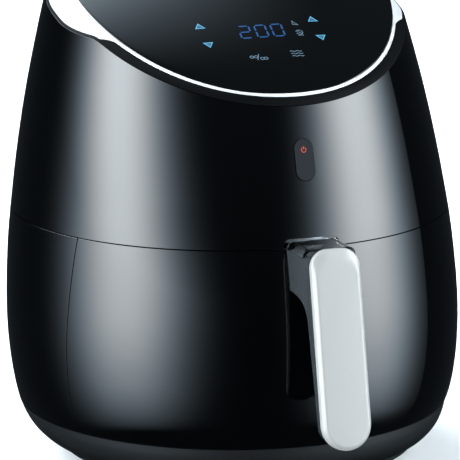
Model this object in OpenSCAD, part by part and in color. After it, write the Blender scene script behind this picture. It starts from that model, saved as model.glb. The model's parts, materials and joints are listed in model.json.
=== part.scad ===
// Countertop air fryer: egg-shaped housing, pull-out pan and basket with a
// front handle, slanted touch panel in a silver trim ring.
// Millimetres. +Z up, the user faces the -Y side. The origin lies on the
// table, below the middle of the whole appliance.

/* [Body] */
// Largest radius of the egg-shaped body
body_r = 155; // [150:0.5:158]
// Lean of the body's axis towards the rear, degrees
lean = 6.5; // [5:0.5:8]
// Where the body's axis meets the underside of the bowl, along Y
axis_y = 16; // [14:0.5:18]
// Wall thickness of the outer shells
wall = 2.6; // [2.2:0.1:3]
// Gap left between neighbouring shells
seam = 0.5; // [0.3:0.1:0.8]
// Height of the seam between base and drawer
low_seam_z = 35; // [34:0.5:36]
// Height of the seam between drawer and upper shell
mid_seam_z = 168; // [167.5:0.5:168.5]
// Vertical plane where the drawer front ends at the sides, along Y
front_plane_y = -35; // [-38:0.5:-32]

/* [Control panel] */
// Slope of the panel, degrees
panel_tilt = 24.6; // [22:0.2:27]
// Centre of the panel along Y
panel_y = 39; // [37:0.5:41]
// Height of the panel's centre
panel_z = 321; // [320:0.5:322]
// Half width of the panel
panel_a = 111; // [108:0.5:112]
// Panel's reach from its centre to the front, along the slope
panel_front = 136; // [130:0.5:137]
// Panel's reach from its centre to the rear, along the slope
panel_rear = 101; // [95:0.5:104]
// Thickness of the panel's glass
panel_t = 3; // [2:0.5:4]

/* [Pan and basket] */
// Centre of the pan along Y
pan_y = 15; // [13:0.5:17]
// Outer radius of the pan's rim
pan_rim_r = 113; // [111:0.5:114]
// Outer radius of the pan's wall at the top
pan_r = 108; // [106:0.5:108.5]
// Height of the pan's floor above the table
pan_floor_z = 43; // [42.5:0.5:45]
// Height of the top of the pan's rim
pan_rim_z = 159; // [158.5:0.5:159]
// Inner radius of the basket at the top
basket_r = 101; // [98:0.5:102]
// Height of the basket's floor above the table
basket_floor_z = 59; // [57:0.5:63]

/* [Handle] */
// Width of the handle's silver plate
plate_w = 34; // [33:0.5:36]
// Height of the plate's top edge
plate_top_z = 176; // [174:0.5:178]
// Height of the plate's bottom edge
plate_low_z = 48; // [46:0.5:50]
// Front face of the plate at its top edge, along Y
plate_top_y = -156.6; // [-158:0.2:-156]
// Lean of the plate, outwards at the bottom, degrees
plate_lean = 11.5; // [10:0.5:13]
// Thickness of the plate
plate_t = 6.8; // [6:0.2:8]
// Width of the handle's core and neck
core_w = 33; // [31:0.5:34]

/* [Moving parts] */
// Inward travel of the power button
power_travel = 1.2; // [1:0.1:1.5]
// Downward travel of the basket release button
release_travel = 3; // [2:0.5:3]
// Travel of the button guard towards the body
guard_travel = 11; // [9:1:11]
// Number of blades on the convection fan
fan_blades = 12; // [8:1:14]
// Number of blades on the cooling fan
cooler_blades = 9; // [7:1:11]

/* [Hidden] */
$fn = 96;

foot_h = 5;
bowl_z = -5;                 // where the body's own leaning axis starts
far = 600;                   // larger than the appliance
eps = 0.01;
shaft_y = pan_y;             // fan, motor and pan share one vertical axis

// ---------- body of revolution about the leaning axis ----------

// Outline of the body as [distance along the axis, radius as a share of body_r]
outline = [
    [-6, 0.52], [-3.5, 0.66], [3, 0.775], [12, 0.848], [24, 0.9], [42, 0.953],
    [70, 0.988], [105, 1], [150, 0.984], [190, 0.951], [230, 0.908],
    [270, 0.854], [320, 0.772], [380, 0.66]
];

function curve(a, b, c, d, t) =
    0.5 * (2 * b + (c - a) * t + (2 * a - 5 * b + 4 * c - d) * t * t
           + (3 * b - a - 3 * c + d) * t * t * t);

function smooth(p, n) = concat(
    [for (i = [0 : len(p) - 2], k = [0 : n - 1])
        curve(p[max(i - 1, 0)], p[i], p[i + 1], p[min(i + 2, len(p) - 1)], k / n)],
    [p[len(p) - 1]]);

body_line = smooth(outline, 3);

function body_radius(s) = body_r * lookup(s, body_line);

function on_body(s, a, inset = 0) = [
    (body_radius(s) - inset) * cos(a),
    axis_y + s * sin(lean) + (body_radius(s) - inset) * sin(a) * cos(lean),
    bowl_z + s * cos(lean) - (body_radius(s) - inset) * sin(a) * sin(lean)
];

module along_axis() {
    translate([0, axis_y, bowl_z]) rotate([-lean, 0, 0]) children();
}

module egg(inset = 0) {
    line = [for (p = body_line) [body_r * p[1] - inset, p[0]]];
    along_axis()
        rotate_extrude()
            polygon(concat([[0, line[0][1]]], line, [[0, line[len(line) - 1][1]]]));
}

module egg_shell(t = wall) {
    difference() {
        egg();
        egg(t);
    }
}

module slab(z0, z1) {
    translate([-far / 2, -far / 2, z0]) cube([far, far, z1 - z0]);
}

module behind(y) {
    translate([-far / 2, y, -far / 2]) cube([far, far, 2 * far]);
}

module ahead_of(y) {
    translate([-far / 2, y - far, -far / 2]) cube([far, far, 2 * far]);
}

module above_axis(y = shaft_y, z = 0) {
    translate([0, y, z]) children();
}

module ring(r_in, r_out, h) {
    difference() {
        cylinder(r = r_out, h = h);
        translate([0, 0, -1]) cylinder(r = r_in, h = h + 2);
    }
}

// ---------- slanted top ----------

module on_panel() {
    translate([0, panel_y, panel_z]) rotate([panel_tilt, 0, 0]) children();
}

function panel_point(a, grow = 0) = [
    (panel_a + grow) * cos(a),
    (a > 180 ? panel_front + grow : panel_rear + grow) * sin(a)
];

function panel_outline(grow = 0, step = 5) = [for (a = [0 : step : 359]) panel_point(a, grow)];

// Height of the panel's plane above the table at depth y
function plane_z(y) = panel_z + (y - panel_y) * tan(panel_tilt);

// The upper shell's rim follows the panel at the front, runs level past the
// corners and climbs gently to the rear: [y, z]
corner_y = -14;
rim_front = [for (y = [-120 : 20 : corner_y - 6]) [y, plane_z(y) - 3.5]];
rim_line = concat(rim_front,
    smooth([[corner_y - 4, plane_z(corner_y - 4) - 3.5], [corner_y + 5, 294.8], [2, 295.9],
            [13, 297], [26, 299], [39, 302.2], [51, 305], [65, 308.3], [110, 323], [190, 348]], 4));

function rim_z(y) = lookup(y, rim_line);

// Distance along the body's axis at which angle a, at that inset, meets the rim
function rim_s(a, inset = 0, n = 7, s = 300) = n == 0 ? s :
    rim_s(a, inset, n - 1, (rim_z(on_body(s, a, inset)[1]) - bowl_z
                            + (body_radius(s) - inset) * sin(a) * sin(lean)) / cos(lean));

// Point at angle a and that inset, raised above the rim along the body's axis
function on_rim(a, inset, up) = on_body(rim_s(a, inset) + up, a, inset);

module below_rim() {
    last = len(rim_line) - 1;
    translate([-far / 2, 0, 0])
        rotate([90, 0, 90])
            linear_extrude(far)
                polygon(concat([[-far, -1], [far, -1], [far, rim_line[last][1]]],
                               [for (i = [last : -1 : 0]) rim_line[i]],
                               [[-far, rim_line[0][1]]]));
}

// ---------- swept round tubes ----------

function unit(v) = v / norm(v);

function tangent(p, i) = unit(p[min(i + 1, len(p) - 1)] - p[max(i - 1, 0)]);

function side_of(t, ref) = unit(cross(t, ref));

// A tube of radius r along points p; ref must not run along the path
module tube(p, r, sides = 8, ref = [0, 0, 1]) {
    n = len(p);
    points = [for (i = [0 : n - 1], k = [0 : sides - 1])
        let (t = tangent(p, i), u = side_of(t, ref), v = cross(u, t))
        p[i] + r * cos(k * 360 / sides) * u + r * sin(k * 360 / sides) * v];
    walls = [for (i = [0 : n - 2], k = [0 : sides - 1])
        let (k2 = (k + 1) % sides)
        [i * sides + k, i * sides + k2, (i + 1) * sides + k2, (i + 1) * sides + k]];
    polyhedron(points, concat(walls,
        [[for (k = [sides - 1 : -1 : 0]) k]],
        [[for (k = [0 : sides - 1]) (n - 1) * sides + k]]), convexity = 8);
}

// ---------- shapes used by several parts ----------

// Flat stadium of the given width and length, long side along Y
module pill(w, l) {
    square([w, l - w], center = true);
    for (side = [-1, 1]) translate([0, side * (l - w) / 2]) circle(d = w);
}

module arch(half_w, h, y0, y1) {
    r = 5;
    for (side = [-1, 1])
        translate([side * (half_w - r), y1, mid_seam_z + h - r])
            rotate([90, 0, 0]) cylinder(r = r, h = y1 - y0);
    translate([-half_w, y0, mid_seam_z - 2]) cube([2 * half_w, y1 - y0, h + 2 - r]);
    translate([r - half_w, y0, mid_seam_z - 2]) cube([2 * (half_w - r), y1 - y0, h + 2]);
}

// Outline of the bay: round behind the pan, straight from there to the front
module bay_block(r, front_y, z0, z1) {
    intersection() {
        union() {
            above_axis(pan_y, z0) cylinder(r = r, h = z1 - z0);
            translate([-r, pan_y - 2 * r, z0]) cube([2 * r, 2 * r, z1 - z0]);
        }
        behind(front_y);
    }
}

module screw(head_r, head_h, shank_r, shank_l) {
    cylinder(r = head_r, h = head_h);
    translate([0, 0, head_h - eps]) cylinder(r = shank_r, h = shank_l);
}

module at_corners(r, y, z, start = 45) {
    for (a = [start : 90 : start + 270])
        translate([r * cos(a), y + r * sin(a), z]) children();
}

// ---------- base ----------

base_y = 17;                 // middle of the plinth along Y
plinth_r = 121;
cover_t = 2.5;
bowl_low_z = 9.1;
bowl_hole_r = 100;
foot_r = 10;
foot_ring_r = 96;
screw_ring_r = 110.5;
bowl_sides = 72;

// Half section of the bowl, outside from the bottom up: [height, radius]
bowl_line = smooth([[bowl_low_z, 123.2], [11.4, 128.4], [15, 134.1], [21, 140.2],
                    [28, 144.4], [low_seam_z - seam / 2, 146.8]], 2);

// The bowl's middle shifts back with height, as the body leans
function bowl_y(z) = base_y + (z - foot_h) * 0.32;

bowl_section = concat(
    [[bowl_low_z, bowl_hole_r]],
    bowl_line,
    [for (i = [len(bowl_line) - 1 : -1 : 2]) bowl_line[i] + [0, -wall]],
    [[bowl_low_z + wall, bowl_line[2][1] - wall - 1], [bowl_low_z + wall, bowl_hole_r]]);

module bowl() {
    m = len(bowl_section);
    polyhedron(
        [for (i = [0 : bowl_sides - 1], p = bowl_section)
            let (a = i * 360 / bowl_sides, c = p[1] == bowl_hole_r ? base_y : bowl_y(p[0]))
            [p[1] * cos(a), c + p[1] * sin(a), p[0]]],
        [for (i = [0 : bowl_sides - 1], k = [0 : m - 1])
            let (i2 = (i + 1) % bowl_sides, k2 = (k + 1) % m)
            [i * m + k, i * m + k2, i2 * m + k2, i2 * m + k]], convexity = 6);
}

module base_shell() {
    color("#17181a")
        difference() {
            bowl();
            at_corners(screw_ring_r, base_y, bowl_low_z - 1) cylinder(r = 1.7, h = wall + 2);
        }
}

// Bottom cover with the plinth's rim, vent slots and holes for feet and screws
module base_cover() {
    rim_z = bowl_low_z - 0.3;
    floor_z = foot_h + cover_t;
    color("#202225")
        above_axis(base_y)
            difference() {
                rotate_extrude()
                    polygon([[0, foot_h], [plinth_r - 1.6, foot_h], [plinth_r - 0.4, foot_h + 0.5],
                             [plinth_r, foot_h + 1.4], [plinth_r, rim_z], [plinth_r - wall, rim_z],
                             [plinth_r - wall, floor_z], [0, floor_z]]);
                for (x = [-50 : 12.5 : 50])
                    translate([x - 1.5, -30, foot_h - 1]) cube([3, 60, cover_t + 2]);
                at_corners(screw_ring_r, 0, foot_h - 1) cylinder(r = 1.7, h = cover_t + 2);
                at_corners(foot_ring_r, 0, foot_h - 1) cylinder(r = 3, h = cover_t + 2);
            }
}

module rubber_feet() {
    color("#101010")
        at_corners(foot_ring_r, base_y, 0) {
            cylinder(r1 = foot_r - 1, r2 = foot_r, h = 1.5);
            translate([0, 0, 1.5 - eps]) cylinder(r = foot_r, h = foot_h - 1.6);
            cylinder(r = 2.9, h = foot_h + cover_t);
        }
}

module base_screws() {
    color("#8f9296")
        at_corners(screw_ring_r, base_y, foot_h - 2.1) screw(3.2, 2, 1.6, 9);
}

// ---------- side and rear housing ----------

inlet_z = 57;
inlet_y = 176;
inlet_barrel_r = 7.5;

module lower_housing() {
    color("#0d0e10")
        difference() {
            intersection() {
                egg_shell();
                slab(low_seam_z + seam / 2, mid_seam_z - seam / 2);
                behind(front_plane_y + seam / 2);
            }
            translate([0, inlet_y + 15, inlet_z]) rotate([90, 0, 0])
                cylinder(r = inlet_barrel_r + 0.1, h = 30);
        }
}

// Frame behind the drawer's front that closes the housing round the bay
module front_bulkhead() {
    color("#1b1d20")
        difference() {
            intersection() {
                egg(wall + 0.5);
                slab(low_seam_z + 1, mid_seam_z - 1.5);
                behind(front_plane_y + 0.4);
                ahead_of(front_plane_y + 2.8);
            }
            translate([-bay_r - 0.3, -far / 2, low_seam_z + 2.2])
                cube([2 * bay_r + 0.6, far, far]);
            translate([switch_x, front_plane_y + 5, switch_z])
                rotate([90, 0, 0]) cylinder(r = 2, h = 10);
        }
}

bay_r = 121;
bay_t = 0.8;
bay_front_y = front_plane_y + 3.2;
bay_floor_z = 39;

module bay_liner() {
    color("#9a9da1")
        difference() {
            bay_block(bay_r, bay_front_y, bay_floor_z + 0.3, mid_seam_z - 1);
            bay_block(bay_r - bay_t, bay_front_y - 5, bay_floor_z, mid_seam_z + 5);
        }
}

module bay_floor() {
    color("#26282b") {
        bay_block(bay_r, bay_front_y, bay_floor_z - 1.6, bay_floor_z);
        for (side = [-1, 1])
            translate([side * 60 - 2, bay_front_y + 4, bay_floor_z - eps])
                cube([4, 130, pan_floor_z - 1.6 - bay_floor_z]);
    }
}

carrier_z = 155;

module drawer_rails() {
    color("#b4b7ba")
        for (side = [-1, 1])
            scale([side, 1, 1])
                translate([0, bay_front_y + 1, 0])
                    difference() {
                        translate([111.5, 0, carrier_z - 4])
                            cube([bay_r - bay_t - 0.2 - 111.5, pan_y - bay_front_y - 1, 3.6]);
                        translate([111, -1, carrier_z - 5])
                            cube([bay_r - bay_t - 1.6 - 111, far, 3.4]);
                    }
}

switch_x = 130;
switch_z = 105;

module drawer_switch() {
    color("#2c2f33") {
        translate([switch_x - 4, front_plane_y + 3.2, switch_z - 11]) cube([8, 10, 22]);
        translate([switch_x, front_plane_y + 4, switch_z])
            rotate([90, 0, 0]) cylinder(r = 1.6, h = 4);
    }
}

module cord_inlet() {
    color("#121212")
        translate([0, inlet_y, inlet_z])
            rotate([-90, 0, 0])
                difference() {
                    union() {
                        translate([0, 0, -7]) cylinder(r = inlet_barrel_r, h = 12.6);
                        translate([0, 0, 3.8]) cylinder(r = 10, h = 1.8);
                        translate([0, 0, -7]) cylinder(r = 9.5, h = 2);
                    }
                    translate([0, 0, -8]) cylinder(r = 3.6, h = 20);
                }
}

// ---------- upper housing ----------

outlet_z = 185;
outlet_w = 68;
outlet_h = 27;

button_y = -102.4;           // middle of the power button on the body's front
button_z = 223.5;
button_slope = 16;
button_w = 13;
button_l = 27.5;
notch_half = 19.6;
notch_h = 6.4;

module on_button() {
    translate([0, button_y, button_z]) rotate([90 - button_slope, 0, 0]) children();
}

module rear_window(w, h, grow) {
    translate([-w / 2 - grow, 120, outlet_z - h / 2 - grow])
        cube([w + 2 * grow, 100, h + 2 * grow]);
}

module upper_shell() {
    color("#0b0c0e")
        difference() {
            intersection() {
                egg_shell();
                below_rim();
                slab(mid_seam_z + seam / 2, far);
            }
            on_button() translate([0, 0, -12]) linear_extrude(24) pill(button_w + 0.8, button_l + 0.8);
            arch(notch_half, notch_h, -140, -100);
            rear_window(outlet_w, outlet_h, 0.3);
            for (x = [-40 : 10 : 40])
                translate([x - 1.5, 120, 253]) cube([3, 100, 26]);
        }
}

dome_r = 1400;
dome_h = 5.5;

function dome(p) = dome_h - (p[0] * p[0] + p[1] * p[1]) / (2 * dome_r);

function to_world(p) = [
    p[0],
    panel_y + p[1] * cos(panel_tilt) - p[2] * sin(panel_tilt),
    panel_z + p[1] * sin(panel_tilt) + p[2] * cos(panel_tilt)
];

ring_steps = 90;

// Cross-section of the trim ring at angle a, from the glass over the crest to
// the skirt that hangs inside the shell
function ring_section(a) =
    let (p = panel_point(a, 0.3), top = dome(p))
    [
        to_world([p[0], p[1], top - 0.5]),
        on_rim(a, 2.7, 4.6),
        on_rim(a, 1.7, 4.4),
        on_rim(a, 1.4, 3.9),
        on_rim(a, wall + 0.3, 3.5),
        on_rim(a, wall + 0.3, -4),
        on_rim(a, wall + 1.7, -4),
        to_world([p[0], p[1], top - 4.6])
    ];

// Cross-section of the black bevel between the shell's rim and the trim ring
function bezel_section(a) = [
    on_rim(a, 0, 0.25),
    on_rim(a, 0.3, 2.2),
    on_rim(a, 1.3, 3.6),
    on_rim(a, 2.5, 3.2),
    on_rim(a, 2.5, 0.25)
];

module swept_ring(sections) {
    n = len(sections);
    m = len(sections[0]);
    polyhedron([for (s = sections) each s],
        [for (i = [0 : n - 1], k = [0 : m - 1])
            let (i2 = (i + 1) % n, k2 = (k + 1) % m)
            [i * m + k, i2 * m + k, i2 * m + k2, i * m + k2]], convexity = 8);
}

module trim_ring() {
    color("#d9dcde") swept_ring([for (i = [0 : ring_steps - 1]) ring_section(i * 360 / ring_steps)]);
}

module rim_bezel() {
    color("#0b0c0e") swept_ring([for (i = [0 : ring_steps - 1]) bezel_section(-i * 360 / ring_steps)]);
}

module dome_block(drop, depth) {
    translate([0, 0, -drop])
        rotate_extrude()
            polygon(concat([for (r = [0 : 12 : 144]) [r, dome([r, 0])]],
                           [[144, dome([144, 0]) - depth], [0, dome_h - depth - 6]]));
}

module control_panel() {
    color("#0a0b0d")
        on_panel()
            intersection() {
                difference() {
                    dome_block(0, 12);
                    dome_block(panel_t, 40);
                }
                translate([0, 0, -20]) linear_extrude(40) polygon(panel_outline(0));
            }
}

display_v = -69;             // middle of the digits, down the panel's slope
board_drop = 10;

module display_module() {
    color("#1c2430")
        on_panel() translate([-25, display_v - 10, -board_drop]) cube([50, 20, board_drop - 0.3]);
}

module control_board() {
    color("#1f5b3a")
        on_panel() translate([-62, -106, -board_drop - 1.9]) cube([124, 76, 1.6]);
}

touch_keys = [[-40.5, -58.5], [40.5, -58.5], [-40.2, -79], [40.2, -79], [-14.5, -95], [14.5, -95]];

module touch_springs() {
    color("#c9ccd0")
        on_panel()
            for (k = touch_keys)
                translate([k[0], k[1], -board_drop - 0.2])
                    cylinder(r = 3.5, h = dome(k) - panel_t + board_drop - 0.4);
}

module power_board() {
    color("#2a6b45") translate([-48, 118, 211]) cube([96, 1.6, 72]);
    color("#22262c") {
        translate([-40, 119.6 - eps, 247]) cube([30, 16, 26]);
        translate([4, 119.6 - eps, 219]) cube([26, 20, 20]);
    }
    color("#3c4148")
        for (x = [-30, -14])
            translate([x, 119.6 - eps, 229]) rotate([-90, 0, 0]) cylinder(r = 6, h = 20);
}

module button_board() {
    color("#1f5b3a")
        on_button() {
            translate([-12, -18, -12]) cube([24, 36, 1.6]);
            translate([-4, -4, -10.4 - eps]) cube([8, 8, 2.4]);
            translate([0, 0, -8.1]) cylinder(r = 1.8, h = 1.7 - power_travel);
        }
}

// ---------- heating chamber ----------

chamber_z = mid_seam_z + 1.4;
chamber_t = 0.8;
chamber_line = [[119.8, 0], [119.8, 12], [112, 30], [98, 38], [30, 42], [6.5, 42]];
chamber_inside = [[6.5, 41.2], [30, 41.2], [97.4, 37.2], [111.3, 29.5], [119, 11.8], [119, 0]];
shield_z = 215;

// The element is one loop inside another, joined by a turn; its ends lie side
// by side: points as [radius, angle]
coil_z = 176;
coil_r = 3.3;
coil_in = 62;
coil_out = 84;
coil_mid = (coil_in + coil_out) / 2;
coil_turn_r = (coil_out - coil_in) / 2;
leg_a = [72, 98];
coil_polar = concat(
    [[coil_out, leg_a[0] + 2]],
    [for (a = [leg_a[0] - 12 : -12 : -240]) [coil_out, a]],
    [for (u = [30 : 30 : 150])
        [coil_mid + coil_turn_r * cos(u), -240 - coil_turn_r * sin(u) * 180 / PI / coil_mid]],
    [for (a = [-240 : 12 : 84]) [coil_in, a]],
    [for (u = [0.2 : 0.2 : 1])
        [coil_in + (coil_out - coil_in) * u * u * (3 - 2 * u), 84 + (leg_a[1] - 84) * u]]);
coil_path = [for (p = coil_polar) [p[0] * cos(p[1]), shaft_y + p[0] * sin(p[1]), coil_z]];

probe_x = -64;
probe_y = shaft_y - 40;

module at_legs() {
    for (a = leg_a) translate([coil_out * cos(a), shaft_y + coil_out * sin(a), coil_z]) children();
}

// Holes for the element's legs and the temperature probe
module chamber_holes() {
    at_legs() cylinder(r = 4.6, h = 60);
    translate([probe_x, probe_y, coil_z]) cylinder(r = 2.8, h = 60);
}

module chamber_reflector() {
    color("#b9bcc0")
        difference() {
            above_axis(shaft_y, chamber_z)
                rotate_extrude() polygon(concat(chamber_line, chamber_inside));
            translate([-28, 120, 175]) cube([56, 30, 19]);
            chamber_holes();
        }
}

module heat_shield() {
    color("#8e9195")
        difference() {
            above_axis(shaft_y, shield_z) ring(9, 98, 1);
            chamber_holes();
        }
}

module heating_element() {
    color("#55504c") {
        tube(coil_path, coil_r, 10);
        at_legs() translate([0, 0, -1]) cylinder(r = coil_r, h = shield_z + 7 - coil_z);
    }
}

guard_z = chamber_z + 0.3;

module element_guard() {
    color("#c5c8cb")
        above_axis(shaft_y, guard_z) {
            for (r = [22 : 16 : 102]) ring(r, r + 1.6, 1.6);
            difference() {
                for (a = [0 : 45 : 135])
                    rotate(a) translate([-108, -0.8, 0]) cube([216, 1.6, 1.6]);
                translate([0, 0, -1]) cylinder(r = 22.5, h = 4);
            }
        }
}

module temperature_probe() {
    color("#d0d2d4") translate([probe_x, probe_y, 197]) {
        cylinder(r = 2.5, h = 24);
        translate([0, 0, shield_z + 1.2 - 197]) cylinder(r = 4, h = 3);
    }
}

module thermal_cutout() {
    color("#c8b48a") translate([62, shaft_y - 44, shield_z + 1.1]) {
        cylinder(r = 8, h = 5);
        translate([-10, -3, 0]) cube([20, 6, 1]);
    }
}

module exhaust_duct() {
    color("#7d8084")
        difference() {
            intersection() {
                translate([-31, shaft_y + 120.6, 173]) cube([62, 80, 24]);
                egg(wall + 0.8);
            }
            translate([-29.4, 100, 174.6]) cube([58.8, 120, 20.8]);
        }
}

module outlet_grille() {
    color("#17191b")
        difference() {
            intersection() {
                egg_shell();
                rear_window(outlet_w, outlet_h, 0);
            }
            for (i = [-2.5 : 1 : 2.5])
                translate([-29, 100, outlet_z + i * 4 - 1.2]) cube([58, 120, 2.4]);
        }
}

// ---------- motor and fans ----------

shaft_r = 4;
bracket_z = 231;
motor_z = bracket_z + 1.8;
motor_r = 32;
motor_h = 30;

module motor_bracket() {
    color("#a7aaae")
        above_axis(shaft_y, 0)
            difference() {
                union() {
                    translate([-72, -16, bracket_z]) cube([144, 32, 1.6]);
                    for (side = [-1, 1]) {
                        translate([side * 71.2 - 0.8, -16, shield_z + 1.1])
                            cube([1.6, 32, bracket_z - shield_z]);
                        translate([side * 76 - 5.6, -16, shield_z + 1.1]) cube([11.2, 32, 1.2]);
                    }
                }
                translate([0, 0, bracket_z - 1]) cylinder(r = 7, h = 4);
                for (side = [-1, 1])
                    translate([side * 24, 0, bracket_z - 1]) cylinder(r = 1.7, h = 4);
            }
}

module fan_motor() {
    color("#7a7d82")
        above_axis(shaft_y, motor_z)
            difference() {
                union() {
                    cylinder(r = motor_r, h = motor_h - 4);
                    translate([0, 0, motor_h - 4 - eps]) cylinder(r = 12, h = 4);
                }
                translate([0, 0, -1]) cylinder(r = shaft_r + 0.05, h = motor_h + 2);
                for (side = [-1, 1])
                    translate([side * 24, 0, -1]) cylinder(r = 1.7, h = 7);
            }
}

module motor_screws() {
    color("#b0b3b6")
        for (side = [-1, 1])
            translate([side * 24, shaft_y, bracket_z - 2]) screw(3.2, 1.9, 1.6, 6);
}

module fan_shaft() {
    color("#c0c3c6")
        above_axis(shaft_y, 181) cylinder(r = shaft_r, h = motor_z + motor_h + 2 - 181);
}

module blades(n, r0, r1, h, t, twist_a) {
    for (i = [0 : n - 1])
        rotate(i * 360 / n)
            translate([r0, -t / 2, 0]) rotate([0, 0, twist_a]) cube([r1 - r0, t, h]);
}

module convection_fan() {
    color("#a9acb0")
        above_axis(shaft_y, 187)
            difference() {
                union() {
                    cylinder(r = 9, h = 14);
                    translate([0, 0, 11.8]) cylinder(r = 70, h = 1.2);
                    blades(fan_blades, 8, 70, 12, 1.2, 12);
                }
                translate([0, 0, -1]) cylinder(r = shaft_r + 0.02, h = 20);
            }
}

module fan_nut() {
    color("#caa34d")
        above_axis(shaft_y, 182)
            difference() {
                cylinder(r = 7, h = 4.8, $fn = 6);
                translate([0, 0, -1]) cylinder(r = shaft_r + 0.02, h = 8);
            }
}

module cooling_fan() {
    color("#dfe1e3")
        above_axis(shaft_y, 218)
            difference() {
                union() {
                    cylinder(r = 10, h = 10);
                    cylinder(r = 50, h = 1);
                    blades(cooler_blades, 9, 50, 9, 1.2, 14);
                }
                translate([0, 0, -1]) cylinder(r = shaft_r + 0.02, h = 14);
            }
}

module power_button() {
    color("#3c3f43")
        on_button() {
            translate([0, 0, -5]) linear_extrude(5.6) pill(button_w, button_l);
            translate([0, 0, -6.2]) linear_extrude(1.4) pill(button_w + 5, button_l + 5);
        }
}

// ---------- drawer ----------

front_wall = 3.2;
strap_z = 160.7;
strap_t = 1.5;
strap_half = 11;

module drawer_front() {
    color("#0b0c0e")
        difference() {
            intersection() {
                egg_shell(front_wall);
                slab(low_seam_z + seam / 2, mid_seam_z - seam / 2);
                ahead_of(front_plane_y - seam / 2);
            }
            translate([-strap_half - 0.4, -140, strap_z - 0.4])
                cube([2 * strap_half + 0.8, 60, strap_t + 0.8]);
        }
}

module drawer_inner_frame() {
    color("#1b1d20")
        difference() {
            intersection() {
                egg(front_wall + 0.3);
                slab(low_seam_z + 1.5, mid_seam_z - 2);
                behind(front_plane_y - 3.4);
                ahead_of(front_plane_y - 0.9);
            }
            translate([-117, -far / 2, carrier_z - 0.3]) cube([234, far, 30]);
            above_axis(pan_y, pan_floor_z - 3) cylinder(r = pan_rim_r + 1, h = far);
        }
}

module drawer_carrier() {
    color("#24272a")
        difference() {
            intersection() {
                bay_block(116.4, -130, carrier_z, carrier_z + 3);
                egg(front_wall + 0.4);
            }
            above_axis(pan_y, carrier_z - 1) cylinder(r = pan_r + 0.4, h = 5);
        }
}

module bucket(r_low, r_top, floor_z, rim_z, rim_r, t, corner) {
    above_axis(pan_y, 0)
        rotate_extrude()
            polygon(concat(
                [[0, floor_z - t]],
                [for (a = [0 : 15 : 90])
                    [r_low - corner + corner * sin(a), floor_z - t + corner - corner * cos(a)]],
                [[r_top, rim_z - t], [rim_r, rim_z - t], [rim_r, rim_z], [r_top - t, rim_z]],
                [for (a = [90 : -15 : 0])
                    [r_low - corner + (corner - t) * sin(a), floor_z - t + corner - (corner - t) * cos(a)]],
                [[0, floor_z]]));
}

module pan() {
    color("#2b2d30") bucket(103, pan_r, pan_floor_z, pan_rim_z + 0.1, pan_rim_r, 1, 10);
}

hole_rings = [[20, 6], [38, 12], [56, 18], [74, 24]];

module basket() {
    floor_z = basket_floor_z;
    color("#34373a")
        difference() {
            bucket(basket_r - 4, basket_r + 1, floor_z, pan_rim_z + 1.3, pan_rim_r - 3, 1, 9);
            above_axis(pan_y, floor_z - 3)
                for (h = hole_rings, i = [0 : h[1] - 1])
                    rotate(i * 360 / h[1]) translate([h[0], 0, 0]) cylinder(r = 3.6, h = 6, $fn = 24);
            above_axis(pan_y, floor_z + 12)
                for (i = [0 : 23])
                    rotate(i * 15 + 7.5) translate([80, -2.5, 0]) cube([40, 5, 30]);
        }
}

module basket_bumpers() {
    color("#5a1f1c")
        at_corners(84, pan_y, basket_floor_z - 5.1) cylinder(r = 5, h = 4);
}

module basket_bracket() {
    color("#b9bcbf")
        translate([-strap_half, -119.6, strap_z]) cube([2 * strap_half, 31, strap_t]);
}

// ---------- handle ----------

plate_half = plate_w / 2;
plate_len = (plate_top_z - plate_low_z) / cos(plate_lean);
plate_corner_r = 12.5;
core_gap = 0.15;
screw_heights = [69, 117];

// The plate's front face, from the middle of its top edge downwards
module on_plate() {
    translate([0, plate_top_y, plate_top_z]) rotate([90 - plate_lean, 0, 0]) children();
}

module at_handle_screws(depth) {
    for (z = screw_heights)
        on_plate() translate([0, (z - plate_top_z) / cos(plate_lean), depth]) children();
}

module plate_outline(inset = 0) {
    low_r = plate_half - inset;
    low_v = plate_half - plate_len;
    corner_x = plate_half - plate_corner_r;
    translate([0, low_v]) circle(r = low_r);
    translate([-low_r, low_v]) square([2 * low_r, -plate_corner_r - low_v]);
    for (side = [-1, 1])
        translate([side * corner_x, -plate_corner_r]) circle(r = plate_corner_r - inset);
    translate([-corner_x, -plate_corner_r - 1]) square([2 * corner_x, plate_corner_r + 1 - inset]);
}

module handle_plate() {
    color("#d4d8da")
        on_plate()
            difference() {
                translate([0, 0, -plate_t]) linear_extrude(plate_t) plate_outline();
                translate([0, 0, -plate_t - 1]) linear_extrude(plate_t - 1.2) plate_outline(2);
            }
}

function back_of_plate(z) =
    plate_top_y - (plate_top_z - z) * tan(plate_lean) + plate_t / cos(plate_lean) + core_gap;

// Side view of the core, from the body along the underside, down the back of
// the grip, up behind the plate and over the saddle: [y, z]
saddle_z = mid_seam_z + 0.2;
core_line = concat(
    smooth([[-100, 146], [-119, 142.3], [-131, 140.5], [-139, 137.6], [-144.2, 132.6],
            [-147.6, 125], [-152, 109.5], [-157.4, 89.6], [-163.5, 67],
            [-167, 57], [-172.6, 51.6]], 4),
    [[back_of_plate(51.2), 51.2], [back_of_plate(173), 173], [-144.9, saddle_z], [-100, saddle_z]]);

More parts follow.
